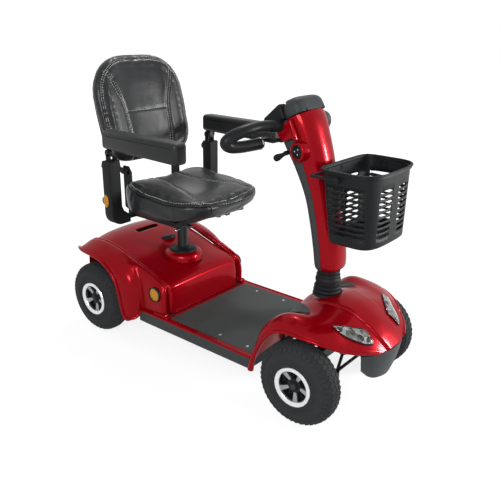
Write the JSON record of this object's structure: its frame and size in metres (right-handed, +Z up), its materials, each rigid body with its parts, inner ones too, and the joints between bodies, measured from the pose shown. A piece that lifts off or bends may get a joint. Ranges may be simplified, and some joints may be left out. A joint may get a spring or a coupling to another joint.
{
  "type": "mobility scooter",
  "caption": "Electric mobility scooter with red body shells, padded swivel seat with flip-up armrests, tilting tiller with loop handlebar, front basket and block-tread wheels.",
  "frame": {"origin": "middle of the bounding box, on the floor under the tyres", "axes": "+X forward along the scooter, +Y to the rider's left, +Z up"},
  "size_m": [1.22, 0.5396, 0.9782],
  "materials": {
    "body_red": "clear-coated metallic paint",
    "charcoal": "fine grained plastic",
    "black_plastic": "fine grained plastic",
    "steel": "black powder coat",
    "bare_steel": "zinc plated",
    "casting": "cast",
    "tyre": "moulded tread",
    "rim_silver": "silver lacquer",
    "rubber": "matt",
    "leatherette": "grained, sewn",
    "amber_lens": "moulded prisms",
    "red_lens": "moulded prisms",
    "clear_lens": "clear"
  },
  "bodies": {
    "chassis": {"main_frame": "steel", "deck_pan": "charcoal", "deck_trim": "body_red", "deck_mat": "rubber", "mat_screws": "bare_steel", "rear_hood": "body_red", "rear_fender_right": "body_red", "rear_fender_left": "body_red", "seat_collar": "black_plastic", "side_reflectors": "amber_lens", "rear_bumper": "charcoal", "tail_lamps": "red_lens", "batteries": "black_plastic", "controller": "casting", "transaxle": "casting", "drive_motor": "steel", "front_cowl": "body_red", "headlamps": "clear_lens", "front_bumper": "charcoal"},
    "freewheel": {"freewheel_lever": "body_red"},
    "steering": {"steering_shaft": "bare_steel", "bellows": "rubber"},
    "knuckle_r": {"knuckle_right": "steel"},
    "knuckle_l": {"knuckle_left": "steel"},
    "tie": {"tie_rod": "steel"},
    "drag": {"drag_link": "steel"},
    "wheel_rr": {"tyre_rear_right": "tyre", "rim_rear_right": "rim_silver"},
    "wheel_rl": {"tyre_rear_left": "tyre", "rim_rear_left": "rim_silver"},
    "wheel_fr": {"tyre_front_right": "tyre", "rim_front_right": "rim_silver"},
    "wheel_fl": {"tyre_front_left": "tyre", "rim_front_left": "rim_silver"},
    "tiller": {"tiller_mast": "steel", "tiller_front_cover": "body_red", "tiller_rear_cover": "charcoal", "console": "charcoal", "handlebar": "steel", "grips": "rubber", "charge_socket": "black_plastic"},
    "tilt_handle": {"tilt_lever": "black_plastic"},
    "throttle": {"throttle_lever": "black_plastic"},
    "dial": {"speed_dial": "black_plastic"},
    "key": {"ignition_key": "bare_steel"},
    "horn": {"horn_button": "black_plastic"},
    "light": {"light_button": "black_plastic"},
    "tub": {"basket": "black_plastic"},
    "bail": {"basket_handle": "black_plastic"},
    "post": {"seat_post": "steel"},
    "swivel": {"swivel_plate": "steel"},
    "swivel_handle": {"swivel_lever": "steel"},
    "seat": {"seat_frame": "black_plastic", "seat_cushion": "leatherette"},
    "backrest": {"back_cushion": "leatherette", "back_shell": "black_plastic"},
    "arm_r": {"armrest_upright_right": "black_plastic"},
    "arm_l": {"armrest_upright_left": "black_plastic"},
    "pad_r": {"armrest_pad_right": "rubber"},
    "pad_l": {"armrest_pad_left": "rubber"}
  },
  "joints": [
    {"name": "steer", "type": "hinge", "parent": "chassis", "child": "steering", "pos_m": [0.363, 0, 0.2], "axis": [0, 0, 1], "range_deg": [-26, 26]},
    {"name": "knuckle_right_turn", "type": "hinge", "parent": "chassis", "child": "knuckle_r", "pos_m": [0.428, -0.158, 0.18], "axis": [0, 0, 1], "range_deg": [-26, 26]},
    {"name": "knuckle_left_turn", "type": "hinge", "parent": "chassis", "child": "knuckle_l", "pos_m": [0.428, 0.158, 0.18], "axis": [0, 0, 1], "range_deg": [-26, 26]},
    {"name": "tie_rod_turn", "type": "hinge", "parent": "knuckle_r", "child": "tie", "pos_m": [0.503, -0.158, 0.148], "axis": [0, 0, 1], "range_deg": [-26, 26]},
    {"name": "drag_link_turn", "type": "hinge", "parent": "steering", "child": "drag", "pos_m": [0.438, 0, 0.148], "axis": [0, 0, 1], "range_deg": [-26, 26]},
    {"name": "wheel_rear_right_spin", "type": "hinge", "parent": "chassis", "child": "wheel_rr", "pos_m": [-0.477, -0.2285, 0.13], "axis": [0, 1, 0], "continuous": true},
    {"name": "wheel_rear_left_spin", "type": "hinge", "parent": "chassis", "child": "wheel_rl", "pos_m": [-0.477, 0.2285, 0.13], "axis": [0, 1, 0], "continuous": true},
    {"name": "wheel_front_right_spin", "type": "hinge", "parent": "knuckle_r", "child": "wheel_fr", "pos_m": [0.428, -0.2285, 0.13], "axis": [0, 1, 0], "continuous": true},
    {"name": "wheel_front_left_spin", "type": "hinge", "parent": "knuckle_l", "child": "wheel_fl", "pos_m": [0.428, 0.2285, 0.13], "axis": [0, 1, 0], "continuous": true},
    {"name": "tiller_tilt", "type": "hinge", "parent": "steering", "child": "tiller", "pos_m": [0.363, 0, 0.362], "axis": [0, -1, 0], "range_deg": [-12, 8], "deforming": ["bellows"]},
    {"name": "tilt_lever_pull", "type": "hinge", "parent": "tiller", "child": "tilt_handle", "pos_m": [0.232, -0.0665, 0.748], "axis": [0, 1, 0], "range_deg": [0, 20], "stiffness_Nm_per_rad": 0.4},
    {"name": "throttle_turn", "type": "hinge", "parent": "tiller", "child": "throttle", "pos_m": [0.222, 0, 0.785], "axis": [0, 1, 0], "range_deg": [-15, 15], "stiffness_Nm_per_rad": 0.8},
    {"name": "speed_dial_turn", "type": "hinge", "parent": "tiller", "child": "dial", "pos_m": [0.19828, 0, 0.873], "axis": [-0.4848, 0, 0.8746], "range_deg": [-135, 135]},
    {"name": "key_turn", "type": "hinge", "parent": "tiller", "child": "key", "pos_m": [0.15804, 0, 0.8507], "axis": [-0.4848, 0, 0.8746], "range_deg": [0, 90]},
    {"name": "horn_press", "type": "slide", "parent": "tiller", "child": "horn", "axis": [0.4848, 0, -0.8746], "range_m": [0, 0.003], "stiffness_N_per_m": 400},
    {"name": "light_press", "type": "slide", "parent": "tiller", "child": "light", "axis": [0.4848, 0, -0.8746], "range_m": [0, 0.003], "stiffness_N_per_m": 400},
    {"name": "basket_lift", "type": "slide", "parent": "tiller", "child": "tub", "axis": [0, 0, 1], "range_m": [0, 0.15]},
    {"name": "basket_handle_swing", "type": "hinge", "parent": "tub", "child": "bail", "pos_m": [0.45, 0, 0.718], "axis": [0, 1, 0], "range_deg": [0, 110]},
    {"name": "seat_height", "type": "slide", "parent": "chassis", "child": "post", "axis": [0, 0, 1], "range_m": [0, 0.05]},
    {"name": "seat_swivel", "type": "hinge", "parent": "post", "child": "swivel", "pos_m": [-0.266, 0, 0.44], "axis": [0, 0, 1], "continuous": true},
    {"name": "swivel_lever_pull", "type": "hinge", "parent": "swivel", "child": "swivel_handle", "pos_m": [-0.176, 0.096, 0.432], "axis": [0, 0, 1], "range_deg": [0, 15], "stiffness_Nm_per_rad": 1},
    {"name": "seat_slide", "type": "slide", "parent": "swivel", "child": "seat", "axis": [-1, 0, 0], "range_m": [-0.05, 0.06]},
    {"name": "back_fold", "type": "hinge", "parent": "seat", "child": "backrest", "pos_m": [-0.422, 0, 0.6], "axis": [0, 1, 0], "range_deg": [0, 75]},
    {"name": "arm_right_width", "type": "slide", "parent": "seat", "child": "arm_r", "axis": [0, -1, 0], "range_m": [0, 0.03]},
    {"name": "arm_left_width", "type": "slide", "parent": "seat", "child": "arm_l", "axis": [0, 1, 0], "range_m": [0, 0.03]},
    {"name": "arm_right_flip", "type": "hinge", "parent": "arm_r", "child": "pad_r", "pos_m": [-0.35, -0.2395, 0.691], "axis": [0, -1, 0], "range_deg": [0, 100]},
    {"name": "arm_left_flip", "type": "hinge", "parent": "arm_l", "child": "pad_l", "pos_m": [-0.35, 0.2395, 0.691], "axis": [0, -1, 0], "range_deg": [0, 100]},
    {"name": "freewheel_turn", "type": "hinge", "parent": "chassis", "child": "freewheel", "pos_m": [-0.507, 0.1435, 0.234], "axis": [0, 1, 0], "range_deg": [0, 40]}
  ],
  "couplings": [
    {"joint": "knuckle_right_turn", "follows": "steer", "ratio": 1},
    {"joint": "knuckle_left_turn", "follows": "steer", "ratio": 1},
    {"joint": "tie_rod_turn", "follows": "steer", "ratio": -1},
    {"joint": "drag_link_turn", "follows": "steer", "ratio": -1}
  ]
}
